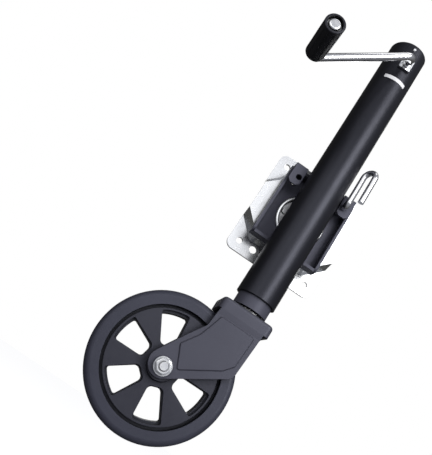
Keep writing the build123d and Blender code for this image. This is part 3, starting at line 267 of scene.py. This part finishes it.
def weld_bead(name, path, outward, radius):
    """Fillet weld laid along a path: a half-round bead with overlapping ripples, a little uneven.

    path is a list of points in metres and outward the direction of the bead's crown at each of them."""
    lengths = [0.0]
    for a, b in zip(path, path[1:]):
        lengths.append(lengths[-1] + (b - a).length)
    total = lengths[-1]
    steps = max(8, int(total / WELD_STEP))
    mesh = bmesh.new()
    rings = []
    for step in range(steps + 1):
        at = total * step / steps
        index = max(i for i, length in enumerate(lengths[:-1]) if length <= at + 1e-9)
        share = (at - lengths[index]) / (lengths[index + 1] - lengths[index])
        here = path[index].lerp(path[index + 1], share)
        up = outward[index].lerp(outward[index + 1], share).normalized()
        along = (path[index + 1] - path[index]).normalized()
        side = along.cross(up).normalized()
        up = side.cross(along).normalized()
        ripple = (at / WELD_RIPPLE) % 1.0
        wobble = 0.08 * math.sin(at * 310) + 0.05 * math.sin(at * 730 + 1.0)
        size = radius * (0.86 + 0.16 * ripple + wobble)
        taper = WELD_TAPER * radius
        ends = min(1.0, at / taper, (total - at) / taper)
        size *= math.sqrt(max(0.02, 1 - (1 - ends) ** 2))
        points = []
        for k in range(WELD_RING):
            angle = 2 * math.pi * k / WELD_RING
            reach = math.cos(angle) * side + WELD_SQUASH * math.sin(angle) * up
            points.append(mesh.verts.new(here + size * reach))
        rings.append(points)
    for first, second in zip(rings, rings[1:]):
        for k in range(WELD_RING):
            following = (k + 1) % WELD_RING
            mesh.faces.new((first[k], first[following], second[following], second[k]))
    mesh.faces.new(rings[0][::-1])
    mesh.faces.new(rings[-1])
    bmesh.ops.recalc_face_normals(mesh, faces=mesh.faces)
    data = bpy.data.meshes.new(name)
    mesh.to_mesh(data)
    mesh.free()
    data.polygons.foreach_set("use_smooth", [True] * len(data.polygons))
    bead = bpy.data.objects.new(name, data)
    bpy.context.collection.objects.link(bead)
    paint(bead, BLACK_DULL)
    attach(bead, "jack")
    return bead


def round_tube(name, height, start, end, radius, rise):
    """Weld where a saddle meets the jack tube, from one angle to another; rise is +1 above the plate, -1 below."""
    path, outward = [], []
    for i in range(ROUND_STEPS + 1):
        angle = math.radians(start + (end - start) * i / ROUND_STEPS)
        radial = Vector((math.cos(angle), math.sin(angle), 0))
        path.append(Vector((0, TUBE_Y, height)) + (TUBE_R + TUBE_STAND_OFF) * radial)
        outward.append((radial + Vector((0, 0, rise))).normalized())
    return weld_bead(name, path, outward, radius)


def straight_weld(name, start, end, outward, radius):
    up = Vector(outward).normalized()
    return weld_bead(name, [Vector(start), Vector(end)], [up, up], radius)


upper_low, upper_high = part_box("upper_saddle")
lower_low, lower_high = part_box("lower_saddle")
saddle_front = lower_low.y
seam_angle = math.degrees(math.asin((saddle_front - TUBE_Y) / TUBE_R))
saddles = (("upper", upper_low, upper_high), ("lower", lower_low, lower_high))
for saddle_name, low, high in saddles:
    for edge, height, rise in (("top", high.z, 1), ("under", low.z, -1)):
        round_tube(f"weld_tube_{saddle_name}_{edge}", height, seam_angle, 180 - seam_angle, TUBE_WELD_R, rise)
for side, word in ((-1, "left"), (1, "right")):
    tube_x = side * TUBE_R * math.cos(math.radians(seam_angle))
    wall_x = side * lower_high.x
    for saddle_name, low, high in saddles:
        straight_weld(
            f"weld_tube_{saddle_name}_{word}_front",
            (tube_x, saddle_front, low.z), (tube_x, saddle_front, high.z), (side * 0.6, -1, 0), FRONT_WELD_R,
        )
        inside = high.z if saddle_name == "lower" else low.z
        up = 1 if saddle_name == "lower" else -1
        straight_weld(
            f"weld_flange_{saddle_name}_{word}",
            (wall_x, saddle_front + FLANGE_WELD_START, inside), (wall_x, saddle_front + FLANGE_WELD_END, inside),
            (-side, 0, up), FLANGE_WELD_R,
        )

# ---------------------------------------------------------------- floor, light, camera
floor_mesh = bpy.data.meshes.new("floor")
floor = bpy.data.objects.new("floor", floor_mesh)
bpy.context.collection.objects.link(floor)
sheet = bmesh.new()
bmesh.ops.create_grid(sheet, x_segments=2, y_segments=2, size=FLOOR_HALF)
sheet.to_mesh(floor_mesh)
sheet.free()
floor.location = (0, 0, FLOOR_Z)
floor.visible_glossy = False
floor.visible_diffuse = False
pale = Material("pale_floor", Emission_Color=(1, 1, 1, 1), Emission_Strength=0.8)
pale.colour(pale.ramp(pale.noise(3, 3), (0.3, (0.93, 0.93, 0.93)), (0.7, (0.96, 0.96, 0.96))))
pale.rough(pale.spread(pale.noise(12, 2), 0.8, 0.95))
paint(floor, pale.material)

# White to the camera. To everything else it is a dim room, lighter in front of the jack than behind it,
# so that rounded edges fall off dark and the softboxes shape the metal.
world = bpy.data.worlds.new("studio")
bpy.context.scene.world = world
world.use_nodes = True
sky = world.node_tree.nodes
background = sky["Background"]
view = sky.new("ShaderNodeTexCoord")
facing = sky.new("ShaderNodeVectorMath")
facing.operation = "DOT_PRODUCT"
facing.inputs[1].default_value = ROOM_FRONT
room = sky.new("ShaderNodeValToRGB")
rays = sky.new("ShaderNodeLightPath")
pick = sky.new("ShaderNodeMix")
pick.data_type = "RGBA"
room.color_ramp.elements[0].position = 0.35
room.color_ramp.elements[0].color = (0.075, 0.075, 0.073, 1)
room.color_ramp.elements[1].position = 1.0
room.color_ramp.elements[1].color = (0.34, 0.35, 0.39, 1)
share = sky.new("ShaderNodeMapRange")
share.inputs["From Min"].default_value = -1.0
pick.inputs["B"].default_value = (1, 1, 1, 1)
joins = world.node_tree.links
joins.new(view.outputs["Generated"], facing.inputs[0])
joins.new(facing.outputs["Value"], share.inputs["Value"])
joins.new(share.outputs["Result"], room.inputs["Fac"])
joins.new(room.outputs["Color"], pick.inputs["A"])
joins.new(rays.outputs["Is Camera Ray"], pick.inputs["Factor"])
joins.new(pick.outputs["Result"], background.inputs["Color"])


LIT_POINT = Vector((0, -0.06, 0))


def area_light(name, place, width, height, power):
    """Softbox aimed at the jack; sizes in metres, power in watts."""
    light = bpy.data.lights.new(name, "AREA")
    light.shape = "RECTANGLE"
    light.size = width
    light.size_y = height
    light.energy = power
    lamp = bpy.data.objects.new(name, light)
    bpy.context.collection.objects.link(lamp)
    lamp.location = place
    lamp.rotation_euler = (LIT_POINT - Vector(place)).to_track_quat("-Z", "Y").to_euler()


area_light("key", (1.00, -1.68, 0.70), 1.00, 1.7, 30)
area_light("front", (-0.3, -2.4, 0.8), 2.0, 1.2, 6.0)
area_light("left", (-1.25, -1.60, 0.45), 1.8, 1.6, 7.5)
area_light("top", (0.0, -0.5, 2.4), 1.0, 1.0, 5)
area_light("back", (0.5, 2.3, 1.1), 1.8, 1.6, 18)

camera_data = bpy.data.cameras.new("camera")
camera_data.sensor_fit = "AUTO"
camera_data.sensor_width = SENSOR
camera_data.lens = CAMERA_LENS
camera_data.clip_start = 0.01
camera_data.clip_end = 50
camera = bpy.data.objects.new("camera", camera_data)
bpy.context.collection.objects.link(camera)
ahead = Vector((
    math.sin(CAMERA_AZIMUTH) * math.cos(CAMERA_RISE),
    math.cos(CAMERA_AZIMUTH) * math.cos(CAMERA_RISE),
    math.sin(CAMERA_RISE),
))
level = ahead.cross(Vector((0, 0, 1))).normalized()
right = math.cos(CAMERA_ROLL) * level + math.sin(CAMERA_ROLL) * level.cross(ahead)
axes = Matrix((right, right.cross(ahead), -ahead)).transposed()
camera.matrix_world = Matrix.Translation(CAMERA_AT) @ axes.to_4x4()
bpy.context.scene.camera = camera
bpy.context.scene.view_settings.view_transform = "Standard"
